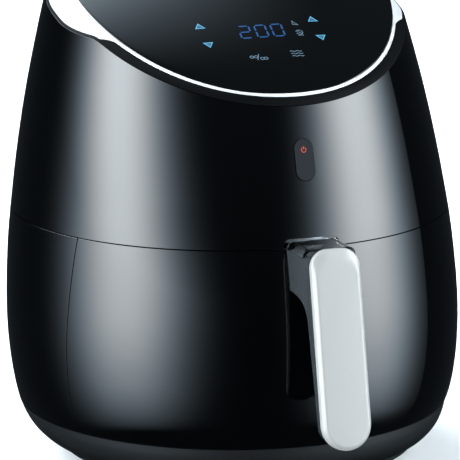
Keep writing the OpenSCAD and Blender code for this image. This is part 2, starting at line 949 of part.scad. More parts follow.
module handle_core() {
    half = core_w / 2 - 1;
    color("#33373b")
        difference() {
            union() {
                intersection() {
                    translate([-30, 0, 0]) rotate([90, 0, 90]) linear_extrude(60) polygon(core_line);
                    linear_extrude(far)
                        polygon([[-19, -100], [19, -100], [half, -146], [half, -200],
                                 [-half, -200], [-half, -146]]);
                    on_plate() translate([0, 0, -150]) linear_extrude(200) {
                        plate_outline(1);
                        translate([-30, -40]) square([60, 80]);
                    }
                }
                on_plate() translate([0, 0, -plate_t - 1])
                    linear_extrude(plate_t - 1.6) plate_outline(2.2);
            }
            egg(-0.1);
            // pocket for the release button, its springs and its latch
            translate([-8.4, pocket_y, pocket_z]) cube([16.8, 24, 11.8]);
            translate([-8.4, pocket_y, pocket_z]) cube([16.8, 11.4, 40]);
            translate([-strap_half - 0.3, -120, strap_z - 0.3])
                cube([2 * strap_half + 0.6, 30, strap_t + 0.6]);
            at_handle_screws(-40) {
                cylinder(r = 3.1, h = 40 - plate_t - 3.4);
                cylinder(r = 1.65, h = 37.6);
            }
            latch_axis() cylinder(r = pin_r + 0.02, h = 24, center = true);
        }
}

module handle_screws() {
    color("#9a9da0") at_handle_screws(-plate_t - 5.5) screw(3, 2, 1.6, 7.2);
}

// ---------- basket release ----------

pocket_y = -144.6;
pocket_z = mid_seam_z - 17;
pin_r = 1.5;
latch_y = -128;
latch_z = pocket_z + 5.6;
latch_half = 1.8;

module latch_axis() {
    translate([0, latch_y, latch_z]) rotate([0, 90, 0]) children();
}

module latch_pin() {
    color("#c0c3c6") latch_axis() cylinder(r = pin_r, h = 22, center = true);
}

module release_button() {
    low_z = pocket_z + 11;
    color("#2c2f33") {
        translate([-8, pocket_y + 0.4, low_z]) cube([16, 10.6, 8]);
        translate([-latch_half, -140, low_z - release_travel + 0.2])
            cube([2 * latch_half, 2.5, release_travel]);
    }
}

spring_h = 9;
spring_turns = 4;
spring_path = [for (t = [0 : 30 : spring_turns * 360])
    [2.6 * cos(t), -141.6 + 1.9 * sin(t), pocket_z + 1 + spring_h * t / (spring_turns * 360)]];

module release_spring() {
    color("#b5b8bb")
        for (side = [-1, 1])
            translate([side * 5.2, 0, 0]) tube(spring_path, 0.45, 6);
}

module release_latch() {
    color("#8d9094")
        difference() {
            union() {
                latch_axis() cylinder(r = 3, h = 7, center = true);
                translate([-latch_half, latch_y - 12, latch_z - 1.4]) cube([2 * latch_half, 18, 2.8]);
                translate([-3.5, latch_y + 4, latch_z - 3.4]) cube([7, 2, 3]);
            }
            latch_axis() cylinder(r = pin_r + 0.05, h = 10, center = true);
        }
}

cover_half = 18.4;
cover_h = 5.4;
guard_rear_y = guard_travel - 128.6;

// The guard covers the button at rest and slides into the notch above the neck
module button_guard() {
    color("#c8d4dc", 0.4)
        difference() {
            translate([0, 0, saddle_z - mid_seam_z]) arch(cover_half, cover_h, -145, guard_rear_y);
            translate([0, 0, saddle_z - mid_seam_z - 1.3]) arch(cover_half - 1.3, cover_h, -146, -110);
            slab(0, saddle_z + 0.25);
        }
}

base_shell();
base_cover();
rubber_feet();
base_screws();
lower_housing();
front_bulkhead();
bay_liner();
bay_floor();
drawer_rails();
drawer_switch();
cord_inlet();
upper_shell();
rim_bezel();
trim_ring();
control_panel();
display_module();
control_board();
touch_springs();
power_board();
button_board();
chamber_reflector();
heat_shield();
heating_element();
element_guard();
temperature_probe();
thermal_cutout();
motor_bracket();
fan_motor();
motor_screws();
exhaust_duct();
outlet_grille();
fan_shaft();
convection_fan();
cooling_fan();
fan_nut();
power_button();
drawer_front();
drawer_inner_frame();
drawer_carrier();
pan();
basket();
basket_bumpers();
basket_bracket();
handle_core();
handle_plate();
handle_screws();
latch_pin();
release_button();
release_spring();
release_latch();
button_guard();
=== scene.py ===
import json
import math

import bmesh
import bpy
import numpy as np
from mathutils import Matrix, Vector


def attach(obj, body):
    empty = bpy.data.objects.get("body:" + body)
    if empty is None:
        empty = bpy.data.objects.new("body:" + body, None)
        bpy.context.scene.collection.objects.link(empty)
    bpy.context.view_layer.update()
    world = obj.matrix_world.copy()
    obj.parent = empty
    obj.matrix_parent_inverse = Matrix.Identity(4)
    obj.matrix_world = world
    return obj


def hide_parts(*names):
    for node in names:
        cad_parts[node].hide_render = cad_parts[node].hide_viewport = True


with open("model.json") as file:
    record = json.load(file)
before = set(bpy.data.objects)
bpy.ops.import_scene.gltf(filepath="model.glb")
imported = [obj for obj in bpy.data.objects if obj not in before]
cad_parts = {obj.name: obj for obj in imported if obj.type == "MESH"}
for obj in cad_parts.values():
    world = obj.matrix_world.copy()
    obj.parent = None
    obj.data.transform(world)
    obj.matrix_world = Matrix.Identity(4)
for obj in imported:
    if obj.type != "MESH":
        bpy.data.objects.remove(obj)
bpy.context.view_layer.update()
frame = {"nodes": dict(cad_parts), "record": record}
nodes = frame["nodes"]
scene = bpy.context.scene
scene.view_settings.view_transform = "Standard"
MM = 0.001

# ---------------------------------------------------------------- body's form
# The body follows the same formulas and sizes as the CAD model, in millimetres.
BODY_R, LEAN, AXIS_Y, BOWL_Z = 155.0, math.radians(6.5), 16.0, -5.0
WALL, FRONT_WALL, SEAM = 2.6, 3.2, 0.5
LOW_SEAM, MID_SEAM, FRONT_Y = 35.0, 168.0, -35.0
TILT, PANEL_Y, PANEL_Z = math.radians(24.6), 39.0, 321.0
PANEL_A, PANEL_FRONT, PANEL_REAR = 111.0, 136.0, 101.0
AXIS = np.array([0, math.sin(LEAN), math.cos(LEAN)])
FORE = np.array([0, math.cos(LEAN), -math.sin(LEAN)])
SIDE = np.array([1.0, 0, 0])


def smooth(points, n):
    """Catmull-Rom curve through the points, n steps a span."""
    p = np.array(points, float)
    out = []
    for i in range(len(p) - 1):
        a, b, c, d = p[max(i - 1, 0)], p[i], p[i + 1], p[min(i + 2, len(p) - 1)]
        for k in range(n):
            t = k / n
            out.append(0.5 * (2 * b + (c - a) * t + (2 * a - 5 * b + 4 * c - d) * t * t
                              + (3 * b - a - 3 * c + d) * t ** 3))
    return np.array(out + [p[-1]])


LINE = smooth([[-6, .52], [-3.5, .66], [3, .775], [12, .848], [24, .9], [42, .953], [70, .988],
               [105, 1], [150, .984], [190, .951], [230, .908], [270, .854], [320, .772],
               [380, .66]], 12)


def radius(s):
    return BODY_R * np.interp(s, LINE[:, 0], LINE[:, 1])


def on_body(s, a, inset=0.0):
    """Point at distance s along the leaning axis and angle a (degrees), that far inside."""
    s, a, inset = np.broadcast_arrays(np.asarray(s, float), np.radians(a), inset)
    r = radius(s) - inset
    return (np.array([0, AXIS_Y, BOWL_Z]) + s[..., None] * AXIS
            + (r * np.cos(a))[..., None] * SIDE + (r * np.sin(a))[..., None] * FORE)


def s_at_height(a, z, inset=0.0):
    a = np.radians(np.asarray(a, float))
    s = np.zeros(np.broadcast(a, z).shape) + z
    for _ in range(30):
        s = (z - BOWL_Z + (radius(s) - inset) * np.sin(a) * math.sin(LEAN)) / math.cos(LEAN)
    return s


def plane_z(y):
    return PANEL_Z + (y - PANEL_Y) * math.tan(TILT)


RIM = np.concatenate([
    [[y, plane_z(y) - 3.5] for y in range(-120, -19, 20)],
    smooth([[-18, plane_z(-18) - 3.5], [-9, 294.8], [2, 295.9], [13, 297], [26, 299], [39, 302.2],
            [51, 305], [65, 308.3], [110, 323], [190, 348]], 6)])


def s_at_rim(a, inset=0.0):
    a = np.asarray(a, float)
    s = np.zeros(np.broadcast(a, inset).shape) + 300.0
    for _ in range(12):
        y = on_body(s, a, inset)[..., 1]
        z = np.interp(y, RIM[:, 0], RIM[:, 1])
        s = (z - BOWL_Z + (radius(s) - inset) * np.sin(np.radians(a)) * math.sin(LEAN)) / math.cos(LEAN)
    return s


def body_normal(p):
    """Outward direction of the body's surface at points p, and how far off it they lie."""
    d = p - np.array([0, AXIS_Y, BOWL_Z])
    s = d @ AXIS
    flat = d - s[:, None] * AXIS
    r = np.linalg.norm(flat, axis=1)
    slope = (radius(s + 1) - radius(s - 1)) / 2
    n = flat / r[:, None] - slope[:, None] * AXIS
    return n / np.linalg.norm(n, axis=1)[:, None], r - radius(s)


def dome(x, v):
    return 5.5 - (x * x + v * v) / 2800.0


def on_panel(x, v, up):
    """Panel coordinates (x, v up the slope, height above its plane) in the part's frame."""
    return np.array([x, PANEL_Y + v * math.cos(TILT) - up * math.sin(TILT),
                     PANEL_Z + v * math.sin(TILT) + up * math.cos(TILT)])


def panel_point(a, grow=0.0):
    s = math.sin(math.radians(a))
    return ((PANEL_A + grow) * math.cos(math.radians(a)),
            ((PANEL_FRONT if s < 0 else PANEL_REAR) + grow) * s)


# ---------------------------------------------------------------- mesh helpers
def piece(name, verts, faces, body, slot, stands_for=(), sharp=32, material=None):
    """A closed mesh from points in millimetres, riding on a CAD body."""
    mesh = bpy.data.meshes.new(name)
    mesh.from_pydata((np.asarray(verts, float) * MM).tolist(), [], faces)
    bm = bmesh.new()
    bm.from_mesh(mesh)
    bmesh.ops.recalc_face_normals(bm, faces=bm.faces)
    bm.to_mesh(mesh)
    bm.free()
    mesh.shade_smooth()
    mesh.set_sharp_from_angle(angle=math.radians(sharp))
    obj = bpy.data.objects.new(name, mesh)
    scene.collection.objects.link(obj)
    mesh.materials.append(material or materials[slot])
    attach(obj, body)
    if stands_for:
        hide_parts(*stands_for)
    return obj


def ring_faces(n, m, closed=True):
    """Quads joining n sections of m points; each section is a closed loop."""
    return [(i * m + k, ((i + 1) % n) * m + k, ((i + 1) % n) * m + (k + 1) % m, i * m + (k + 1) % m)
            for i in range(n if closed else n - 1) for k in range(m)]


def round_in(d, r):
    """How far a rounded edge of radius r falls back at distance d from the edge."""
    q = np.clip(r - np.asarray(d, float), 0, r)
    return r - np.sqrt(np.maximum(r * r - q * q, 0))


def cutter(verts, faces):
    mesh = bpy.data.meshes.new("cutter")
    mesh.from_pydata((np.asarray(verts, float) * MM).tolist(), [], faces)
    bm = bmesh.new()
    bm.from_mesh(mesh)
    bmesh.ops.recalc_face_normals(bm, faces=bm.faces)
    bm.to_mesh(mesh)
    bm.free()
    obj = bpy.data.objects.new("cutter", mesh)
    scene.collection.objects.link(obj)
    return obj


def prism(outline, place, low, high):
    """Straight prism over a 2D outline; place(x, v, h) gives each corner."""
    n = len(outline)
    verts = [place(x, v, h) for h in (low, high) for x, v in outline]
    faces = [tuple(range(n - 1, -1, -1)), tuple(range(n, 2 * n))]
    faces += [(i, (i + 1) % n, n + (i + 1) % n, n + i) for i in range(n)]
    return verts, faces


def cut(obj, cutters):
    """Cuts holes, then gives the outer skin the exact normals of the body's surface."""
    for c in cutters:
        mod = obj.modifiers.new("cut", "BOOLEAN")
        mod.object = c
        mod.solver = "EXACT"
    graph = bpy.context.evaluated_depsgraph_get()
    mesh = bpy.data.meshes.new_from_object(obj.evaluated_get(graph))
    mesh.name = obj.name
    obj.modifiers.clear()
    old, obj.data = obj.data, mesh
    bpy.data.meshes.remove(old)
    for c in cutters:
        bpy.data.objects.remove(c)
    mesh.shade_smooth()
    mesh.set_sharp_from_angle(angle=math.radians(32))
    exact_normals(obj)


def exact_normals(obj):
    mesh = obj.data
    co = np.array([v.co for v in mesh.vertices]) / MM
    normal, off = body_normal(co)
    corners = np.zeros(len(mesh.loops) * 3, np.float32)
    mesh.corner_normals.foreach_get("vector", corners)
    corners = corners.reshape(-1, 3)
    index = np.zeros(len(mesh.loops), np.int32)
    mesh.loops.foreach_get("vertex_index", index)
    face_n = np.zeros(len(mesh.polygons) * 3, np.float32)
    mesh.polygons.foreach_get("normal", face_n)
    total = np.array([p.loop_total for p in mesh.polygons])
    face_n = np.repeat(face_n.reshape(-1, 3), total, axis=0)
    skin = (np.abs(off[index]) < 0.04) & ((face_n * normal[index]).sum(1) > 0.97)
    corners[skin] = normal[index][skin]
    mesh.normals_split_custom_set(corners.tolist())


# ---------------------------------------------------------------- materials
def shader(name, color, rough, metal=0.0, grain=400.0, bump=0.02, vary=0.04, speck=0.12, **extra):
    """Principled material with fine grain in its bump, roughness and colour."""
    m = bpy.data.materials.new(name)
    m.use_nodes = True
    tree = m.node_tree
    new, link = tree.nodes.new, tree.links.new
    bsdf = tree.nodes["Principled BSDF"]
    coord = new("ShaderNodeTexCoord")
    fine = new("ShaderNodeTexNoise")
    fine.inputs["Scale"].default_value = grain
    fine.inputs["Detail"].default_value = 4
    broad = new("ShaderNodeTexNoise")
    broad.inputs["Scale"].default_value = grain / 22
    broad.inputs["Detail"].default_value = 3
    for n in (fine, broad):
        link(coord.outputs["Object"], n.inputs["Vector"])
    spread = new("ShaderNodeMapRange")
    spread.inputs["To Min"].default_value = max(rough - vary, 0.0)
    spread.inputs["To Max"].default_value = rough + vary
    link(broad.outputs["Fac"], spread.inputs["Value"])
    link(spread.outputs["Result"], bsdf.inputs["Roughness"])
    ramp = new("ShaderNodeValToRGB")
    low = [c * (1 - speck) for c in color]
    high = [min(c * (1 + speck), 1) for c in color]
    ramp.color_ramp.elements[0].position, ramp.color_ramp.elements[1].position = 0.3, 0.7
    ramp.color_ramp.elements[0].color = (*low, 1)
    ramp.color_ramp.elements[1].color = (*high, 1)
    link(fine.outputs["Fac"], ramp.inputs["Fac"])
    link(ramp.outputs["Color"], bsdf.inputs["Base Color"])
    hump = new("ShaderNodeBump")
    hump.inputs["Strength"].default_value = bump
    hump.inputs["Distance"].default_value = 0.0002
    link(fine.outputs["Fac"], hump.inputs["Height"])
    link(hump.outputs["Normal"], bsdf.inputs["Normal"])
    bsdf.inputs["Metallic"].default_value = metal
    for key, value in extra.items():
        bsdf.inputs[key.replace("_", " ")].default_value = value
    return m


def glowing(name, color, strength):
    m = shader(name, [c * 0.1 for c in color], 0.3, grain=900)
    bsdf = m.node_tree.nodes["Principled BSDF"]
    bsdf.inputs["Emission Color"].default_value = (*color, 1)
    bsdf.inputs["Emission Strength"].default_value = strength
    return m


materials = {
    "gloss_black": shader("gloss_black", (.0002, .0003, .0004), .035, grain=500, bump=.004, vary=.012),
    "base_black": shader("base_black", (.0042, .0052, .006), .5, grain=1500, bump=.1, vary=.06,
                         Specular_IOR_Level=.14),
    "rubber": shader("rubber", (.012, .012, .012), .75, grain=1800, bump=.3),
    "screw_steel": shader("screw_steel", (.42, .43, .44), .32, 1, 1400, .05),
    "silver_trim": shader("silver_trim", (.47, .475, .48), .36, .1, 2600, .05, .05, .03),
    "handle_silver": shader("handle_silver", (.252, .245, .236), .4, .1, 3200, .06, .05, .03),
    "panel_glass": shader("panel_glass", (.0002, .0003, .0004), .04, grain=300, bump=.003, vary=.015),
    "display": shader("display", (.01, .016, .03), .3, grain=900),
    "dark_plastic": shader("dark_plastic", (.016, .019, .021), .26, grain=1600, bump=.08, vary=.05),
    "button_plastic": shader("button_plastic", (.0012, .0013, .0015), .1, grain=1600, bump=.03, vary=.03),
    "circuit_board": shader("circuit_board", (.012, .09, .035), .45, grain=700, bump=.2, speck=.4),
    "sheet_aluminium": shader("sheet_aluminium", (.66, .67, .68), .34, 1, 900, .06, .08),
    "sheet_steel": shader("sheet_steel", (.5, .51, .52), .3, 1, 900, .06, .08),
    "element_metal": shader("element_metal", (.07, .062, .058), .5, .8, 1200, .15, .1, .3),
    "probe_metal": shader("probe_metal", (.6, .58, .54), .3, 1, 1200, .05),
    "motor_metal": shader("motor_metal", (.35, .36, .37), .4, 1, 1000, .1, .1),
    "fan_plastic": shader("fan_plastic", (.62, .63, .64), .4, grain=1200, bump=.08),
    "brass_nut": shader("brass_nut", (.65, .45, .16), .3, 1, 1200, .05),
    "nonstick": shader("nonstick", (.02, .021, .022), .38, .25, 2200, .3, .08, .35),
    "clear_plastic": shader("clear_plastic", (.93, .95, .96), .03, grain=500, bump=.004, vary=.01,
                            speck=.02, Transmission_Weight=1.0, IOR=1.46),
}
for entry in frame["record"]["subparts"]:
    name = entry.get("node") or entry.get("name")
    if name in nodes and entry.get("material_slot") in materials:
        nodes[name].data.materials.clear()
        nodes[name].data.materials.append(materials[entry["material_slot"]])
for name, obj in nodes.items():
    slots = [m.name.split(".")[0] for m in obj.data.materials if m]
    for i, slot in enumerate(slots):
        if slot in materials:
            obj.data.materials[i] = materials[slot]

# ---------------------------------------------------------------- outer shells
EDGE = np.array([0, .04, .1, .18, .28, .4, .9, 2.0])
ROW_STEP, FRONT_ARC, REAR_ARC = 2.4, 330.0, 600.0
INLET_Z, INLET_R = 57, 7.6
BUTTON_Y, BUTTON_Z, BUTTON_SLOPE = -102.4, 223.5, math.radians(16)


def spaced(length, step):
    """Distances along an edge to edge span, close together near both ends."""
    inner = np.linspace(EDGE[-1] + step / 2, length - EDGE[-1] - step / 2,
                        max(int((length - 2 * EDGE[-1]) / step), 2))
    return np.concatenate([EDGE, inner, length - EDGE[::-1]])


def curved_wall(name, front, thick, body, slot, edge_r):
    """The part of the body between two seams, ahead of or behind the front plane."""
    z0, z1 = LOW_SEAM + SEAM / 2, MID_SEAM - SEAM / 2
    cut_y = FRONT_Y - SEAM / 2 if front else FRONT_Y + SEAM / 2
    zs = z0 + spaced(z1 - z0, ROW_STEP)
    along = spaced(FRONT_ARC if front else REAR_ARC, 2.6)
    share = along / along[-1]
    edge_col = np.minimum(along, along[-1] - along)
    edge_row = np.minimum(zs - z0, z1 - zs)
    near = np.hypot(np.clip(edge_r - edge_row, 0, edge_r)[:, None],
                    np.clip(edge_r - edge_col, 0, edge_r)[None, :])
    near = np.minimum(near, edge_r)
    fall = edge_r - np.sqrt(edge_r ** 2 - near ** 2)

    def limits(inset):
        low, high = np.full(len(zs), -90.0), np.zeros(len(zs)) + 30
        for _ in range(40):
            mid = (low + high) / 2
            y = on_body(s_at_height(mid, zs, inset), mid, inset)[:, 1]
            low, high = np.where(y < cut_y, mid, low), np.where(y < cut_y, high, mid)
        return mid

    grids = []
    for inset in (0.0, thick):
        end = limits(inset)
        if front:
            a = (-180 - end)[:, None] + (2 * end + 180)[:, None] * share
        else:
            a = end[:, None] + (180 - 2 * end)[:, None] * share
        depth = fall if inset == 0 else np.full_like(fall, thick)
        z = zs[:, None] + 0 * a
        grids.append(on_body(s_at_height(a, z, depth), a, depth))
    rows, cols = fall.shape
    verts = np.concatenate([g.reshape(-1, 3) for g in grids])
    off = rows * cols
    faces = []
    for i in range(rows - 1):
        for k in range(cols - 1):
            q = (i * cols + k, i * cols + k + 1, (i + 1) * cols + k + 1, (i + 1) * cols + k)
            faces.append(q)
            faces.append(tuple(off + v for v in reversed(q)))
    border = (list(range(cols)) + [i * cols + cols - 1 for i in range(1, rows)]
              + [(rows - 1) * cols + k for k in range(cols - 2, -1, -1)]
              + [i * cols for i in range(rows - 2, 0, -1)])
    faces += [(p, border[(i + 1) % len(border)], off + border[(i + 1) % len(border)], off + p)
              for i, p in enumerate(border)]
    return piece(name, verts, faces, body, slot, (), 40)


SEAM_EDGE = 0.3
drawer_face = curved_wall("drawer_face", True, FRONT_WALL, "drawer", "gloss_black", SEAM_EDGE)
strap = [(-11.4, 160.3), (11.4, 160.3), (11.4, 162.6), (-11.4, 162.6)]
cut(drawer_face, [cutter(*prism(strap, lambda x, v, h: (x, h, v), -140, -80))])
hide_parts("drawer_front")
side_shell = curved_wall("side_shell", False, WALL, "housing", "gloss_black", SEAM_EDGE)
hole = [(INLET_R * math.cos(t), INLET_Z + INLET_R * math.sin(t))
        for t in np.linspace(0, 2 * math.pi, 48, False)]
cut(side_shell, [cutter(*prism(hole, lambda x, v, h: (x, h, v), 160, 200))])
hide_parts("lower_housing")

CORNERS = (210.8, 329.2)
angles = np.array(sorted(set(np.round(np.concatenate(
    [np.arange(0, 360, 1.0)] + [np.arange(c - 6, c + 6, .3) for c in CORNERS]), 3))))


def closed_ring(name, section, body, slot, stands_for, sharp=32, material=None):
    verts = np.concatenate([section(a) for a in angles])
    m = len(section(0.0))
    return piece(name, verts, ring_faces(len(angles), m), body, slot, stands_for, sharp, material)


def upper_section(a):
    low_r, top_r = SEAM_EDGE, 0.25
    s0, s1 = s_at_height(a, MID_SEAM + SEAM / 2), s_at_rim(a)
    d = spaced(float(s1 - s0), ROW_STEP)[:len(EDGE)]
    out = np.concatenate([d, np.linspace(4, float(s1 - s0) - 4, 46), float(s1 - s0) - d[::-1]])
    inset = round_in(out, low_r) + round_in(float(s1 - s0) - out, top_r)
    back0, back1 = s_at_height(a, MID_SEAM + SEAM / 2, WALL), s_at_rim(a, WALL)
    back = np.linspace(float(back1), float(back0), 10)
    return np.concatenate([on_body(s0 + out, a, inset), on_body(back, a, WALL)])


upper = closed_ring("upper_skin", upper_section, "housing", "gloss_black", ("upper_shell",), 40)


def pill(w, l, n=20):
    r, h = w / 2, (l - w) / 2
    top = [(r * math.cos(t), h + r * math.sin(t)) for t in np.linspace(0, math.pi, n)]
    return top + [(-x, -v) for x, v in top]


def on_button(x, v, h):
    return (x, BUTTON_Y + v * math.sin(BUTTON_SLOPE) - h * math.cos(BUTTON_SLOPE),
            BUTTON_Z + v * math.cos(BUTTON_SLOPE) + h * math.sin(BUTTON_SLOPE))


def arch(half, high, r=5.0, low=-2.0):
    quarter = np.linspace(0, math.pi / 2, 10)
    pts = [(half, low)]
    pts += [(half - r + r * math.cos(t), high - r + r * math.sin(t)) for t in quarter]
    pts += [(-half + r - r * math.sin(t), high - r + r * math.cos(t)) for t in quarter]
    return pts + [(-half, low)]


def rear_slot(x):
    return [(x - 1.5, 253), (x + 1.5, 253), (x + 1.5, 279), (x - 1.5, 279)]


def along_y(x, v, h):
    return (x, h, v)


window = [(-34.3, 171.2), (34.3, 171.2), (34.3, 198.8), (-34.3, 198.8)]
cut(upper, [cutter(*prism(pill(13.8, 28.3), on_button, -12, 12)),
            cutter(*prism(arch(19.6, 6.4), lambda x, v, h: (x, h, MID_SEAM + v), -140, -100)),
            cutter(*prism(window, along_y, 120, 220))]
    + [cutter(*prism(rear_slot(x), along_y, 120, 220)) for x in range(-40, 41, 10)])

# ---------------------------------------------------------------- bowl of the base
bowl = smooth([[9.1, 123.2], [11.4, 128.4], [15, 134.1], [21, 140.2], [28, 144.4], [34.75, 146.8]], 8)
bowl = np.concatenate([bowl[:-1], [[34.45, 146.7], [34.65, 146.5], [34.75, 146.1]]])
inner = [[z, r - WALL] for z, r in bowl[-4:3:-4]]
section = np.array([[9.1, 100.0]] + bowl.tolist() + [[34.75, 143.8]] + inner
                   + [[11.7, 129.0], [11.7, 100.0]])


def bowl_section(a):
    t = math.radians(a)
    c = np.where(section[:, 1] <= 100, 17.0, 17 + (section[:, 0] - 5) * .32)
    return np.stack([section[:, 1] * math.cos(t), c + section[:, 1] * math.sin(t), section[:, 0]], 1)


closed_ring("bowl_skin", bowl_section, "housing", "base_black", ("base_shell",), 40)


# ---------------------------------------------------------------- rim, ring and glass
def on_rim(a, inset, up):
    return on_body(s_at_rim(a, inset) + up, a, inset)


def silver_edge(a):
    """Outer edge of the silver: a narrow band round the front, a wide deck behind the corners."""
    x, v = panel_point(a, .3)
    start = on_panel(x, v, dome(x, v) - .5)
    front = min(max((abs(a - 270) - 58.8) / 1.8, 0), 1)
    front = front * front * (3 - 2 * front)
    crest = on_rim(a, 3.2 - 1.5 * front, 4.6 - 2.4 * front)
    full = float(np.linalg.norm(crest - start))
    band = 5.2 + 2.9 * abs(math.cos(math.radians(a)))
    reach = min(full, band) + (full - min(full, band)) * front
    edge = start + (crest - start) * reach / full
    out = crest - start
    out[2] = 0
    return start, edge, out / np.linalg.norm(out)


def trim_section(a):
    x, v = panel_point(a, .3)
    top = dome(x, v)
    start, edge, out = silver_edge(a)
    narrow = max(0.0, 1 - float(np.linalg.norm(edge - start)) / 11.0)
    slope = [start + (edge - start) * t + np.array([0, 0, 2.1 * narrow * math.sin(math.pi * t)])
             for t in np.linspace(0, 1, 12)]
    crest = [edge + out * o - np.array([0, 0, d]) for o, d in
             ((.3, .05), (.52, .2), (.66, .5), (.7, 1.0), (.7, 4.5), (0, 4.5))]
    inside = [on_panel(x, v, top - 4.6), on_panel(x, v, top - .9), on_panel(x * .9985, v * .9985, top - .6)]
    return np.array(slope + crest + inside)


def bezel_section(a):
    start, edge, out = silver_edge(a)
    inner = edge + out * .8 - np.array([0, 0, .75])
    low, lip = on_rim(a, 0, .25), on_rim(a, .22, .62)
    top = [lip + (inner - lip) * t + np.array([0, 0, .25 * math.sin(math.pi * t)])
           for t in np.linspace(0, 1, 7)]
    return np.array([low, on_rim(a, .05, .45)] + top + [inner - np.array([0, 0, 2.5]), on_rim(a, 3.0, .25)])


closed_ring("silver_ring", trim_section, "housing", "silver_trim", ("trim_ring",), 50)
rim_black = shader("rim_black", (.0006, .0009, .0012), .5, grain=1500, bump=.05, vary=.05,
                   Specular_IOR_Level=.045)
closed_ring("black_rim", bezel_section, "housing", "gloss_black", ("rim_bezel",), 50, rim_black)

GLASS_T = 3
shares = list(np.linspace(.06, .985, 18)) + [.9925, .9965, .9985, 1.0]
drop = [0.0] * 18 + [.02, .09, .25, .6]
verts, faces = [], []
panel_angles = np.arange(0, 360, 2.0)
for share, fall in zip(shares, drop):
    for a in panel_angles:
        x, v = panel_point(a)
        x, v = x * share, v * share
        verts.append(on_panel(x, v, dome(x, v) - fall))
for share in (1.0, .5):
    for a in panel_angles:
        x, v = panel_point(a)
        x, v = x * share, v * share
        verts.append(on_panel(x, v, dome(x, v) - GLASS_T))
m = len(panel_angles)
layers = len(verts) // m
verts += [on_panel(0, 0, dome(0, 0)), on_panel(0, 0, dome(0, 0) - GLASS_T)]
for i in range(layers - 1):
    faces += [(i * m + k, i * m + (k + 1) % m, (i + 1) * m + (k + 1) % m, (i + 1) * m + k)
              for k in range(m)]
faces += [(layers * m, (k + 1) % m, k) for k in range(m)]
faces += [(layers * m + 1, (layers - 1) * m + k, (layers - 1) * m + (k + 1) % m) for k in range(m)]
piece("glass_panel", verts, faces, "housing", "panel_glass", ("control_panel",), 60)


# ---------------------------------------------------------------- lit marks
def strokes(name, lines, width, place, material, slot, body="housing", thick=.05):
    """Thin raised lines: each is (points, closed) in the plane that place() maps."""
    verts, faces = [], []
    for points, closed in lines:
        p = np.array(points, float)
        n = len(p)
        start = len(verts)
        for i in range(n):
            before = p[i] - p[i - 1] if (closed or i) else p[1] - p[0]
            after = p[(i + 1) % n] - p[i] if (closed or i < n - 1) else before
            u, w = before / np.linalg.norm(before), after / np.linalg.norm(after)
            t = u + w
            t = t / np.linalg.norm(t)
            wide = width / 2 / max(abs(float(t @ u)), .45)
            side = np.array([-t[1], t[0]]) * wide
            for q, h in ((p[i] + side, 0), (p[i] - side, 0), (p[i] - side, thick), (p[i] + side, thick)):
                verts.append(place(q[0], q[1], h))
        for i in range(n if closed else n - 1):
            a, b = start + 4 * i, start + 4 * ((i + 1) % n)
            faces += [(a + k, b + k, b + (k + 1) % 4, a + (k + 1) % 4) for k in range(4)]
        if not closed:
            faces += [(start + 3, start + 2, start + 1, start),
                      tuple(start + 4 * (n - 1) + k for k in range(4))]
    return piece(name, verts, faces, body, slot, (), 30, material)


def glass_place(x, v, h):
    return on_panel(x, v, dome(x, v) + .01 + h)


def arc(cx, cy, r, a0, a1, n=16):
    return [(cx + r * math.cos(math.radians(a)), cy + r * math.sin(math.radians(a)))
            for a in np.linspace(a0, a1, n)]


digit_blue = glowing("digit_blue", (.006, .08, .28), .9)
icon_blue = glowing("icon_blue", (.09, .42, .72), .95)
icon_pale = glowing("icon_pale", (.12, .22, .3), .9)
power_red = glowing("power_red", (.62, .05, .025), 1.0)

SEGMENTS = {"a": ((.12, 1), (.88, 1)), "b": ((1, .94), (1, .56)), "c": ((1, .44), (1, .06)),
            "d": ((.12, 0), (.88, 0)), "e": ((0, .44), (0, .06)), "f": ((0, .94), (0, .56)),
            "g": ((.12, .5), (.88, .5))}
SHAPES = {"2": "abged", "0": "abcdef"}
DIGIT_W, DIGIT_H, DIGIT_PITCH, DIGIT_LEAN = 7.6, 12.8, 11.6, .9
lines = []
for index, digit in enumerate("200"):
    left = -15 + index * DIGIT_PITCH
    for key in SHAPES[digit]:
        lines.append(([(left + DIGIT_W * x + DIGIT_LEAN * (y - .5), -74.9 + DIGIT_H * y)
                       for x, y in SEGMENTS[key]], False))
strokes("digits", lines, 1.15, glass_place, digit_blue, "display")
arrows = []
for x in (-40.4, 40.4):
    arrows.append(([(x - 3, -60.6), (x + 3, -60.6), (x, -55.8)], True))
for x in (-40.2, 40.2):
    arrows.append(([(x - 3, -76.6), (x + 3, -76.6), (x, -81.2)], True))
strokes("arrows", arrows, .75, glass_place, icon_blue, "display")
small = [([(x - 1.1, v - .5), (x + 1.1, v - .5), (x, v + 1.3)], True) for x, v in
         ((-40.4, -58.9), (40.4, -58.9))]
small += [([(x - 1.1, v + .5), (x + 1.1, v + .5), (x, v - 1.2)], True) for x, v in
          ((-40.2, -78.1), (40.2, -78.1))]
strokes("arrow_hearts", small, .5, glass_place, icon_pale, "display")
marks = [([(24.8, -63.4), (28.2, -63.9), (25.3, -59.6)], True),
         (arc(26.4, -72.2, 2.3, 200, 520), False), ([(24.6, -75.4), (28.6, -75.4)], False),
         ([(25.2, -71.4), (27.8, -73.4)], False),
         (arc(-15.6, -95.2, 1.2, 0, 330), True), (arc(-12.6, -95.2, 1.2, 0, 330), True),
         ([(-12.4, -98.6), (-10.0, -92.6)], False),
         (arc(-8.9, -97.4, 1.2, 0, 330), True), (arc(-6.3, -97.4, 1.2, 0, 330), True)]
for i in range(3):
    v = -92.0 - 2.5 * i
    marks.append(([(12.6 + .6 * k, v + .45 * math.sin(k * .9)) for k in range(15)], False))
strokes("icons", marks, .55, glass_place, icon_pale, "display")


def button_place(x, v, h):
    return on_button(x, v, .61 + h)


